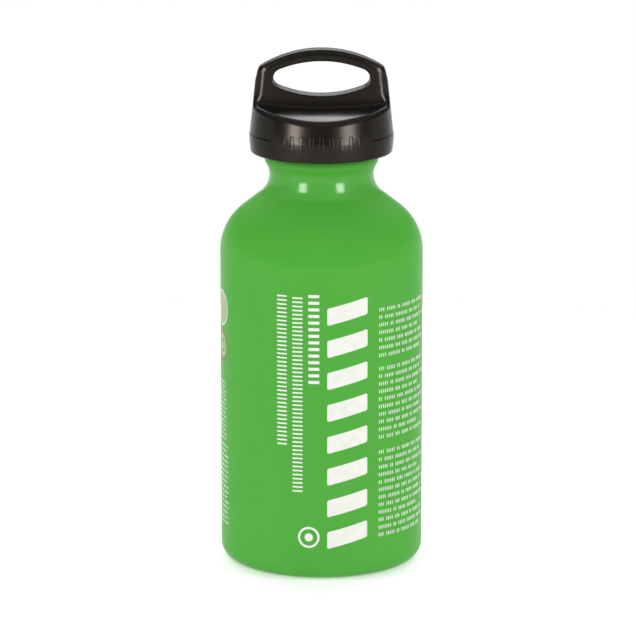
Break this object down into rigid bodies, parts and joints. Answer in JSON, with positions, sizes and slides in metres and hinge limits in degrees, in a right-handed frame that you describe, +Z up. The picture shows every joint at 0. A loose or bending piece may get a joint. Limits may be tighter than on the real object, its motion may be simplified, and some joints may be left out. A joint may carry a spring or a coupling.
{
  "type": "camping fuel bottle",
  "caption": "Aluminium camping fuel bottle, green lacquered, with a black push-and-turn screw cap that has a carrying loop.",
  "frame": {"origin": "middle of the base, on the surface that the bottle stands on", "axes": "+Z up along the bottle's axis, +X along the cap's loop, -Y to the front, in metres"},
  "size_m": [0.073, 0.073, 0.1874],
  "materials": {
    "green_lacquer": "glossy green lacquer on aluminium",
    "bare_aluminium": "turned, bare",
    "gasket_rubber": "matt",
    "stopper_plastic": "moulded, satin",
    "spring_steel": "drawn wire",
    "cap_plastic": "moulded, satin black"
  },
  "bodies": {
    "bottle": {"bottle_shell": "green_lacquer", "neck_ring": "bare_aluminium"},
    "seal": {"seal_ring": "gasket_rubber"},
    "stopper": {"stopper": "stopper_plastic"},
    "spring": {"return_spring": "spring_steel"},
    "overcap": {"overcap": "cap_plastic"}
  },
  "joints": [
    {"name": "cap_lift", "type": "slide", "parent": "bottle", "child": "seal", "axis": [0, 0, 1], "range_m": [0, 0.012]},
    {"name": "cap_turn", "type": "hinge", "parent": "seal", "child": "stopper", "pos_m": [0, 0, 0.1517], "axis": [0, 0, 1], "range_deg": [0, 1080]},
    {"name": "overcap_spin", "type": "hinge", "parent": "stopper", "child": "spring", "pos_m": [0, 0, 0.159], "axis": [0, 0, 1], "continuous": true},
    {"name": "overcap_press", "type": "slide", "parent": "spring", "child": "overcap", "axis": [0, 0, -1], "range_m": [0, 0.0022], "stiffness_N_per_m": 900, "springref_m": -0.0015, "deforming": ["return_spring"]}
  ],
  "couplings": [
    {"joint": "cap_lift", "follows": "cap_turn", "m_per_rad": 0.00063662}
  ]
}
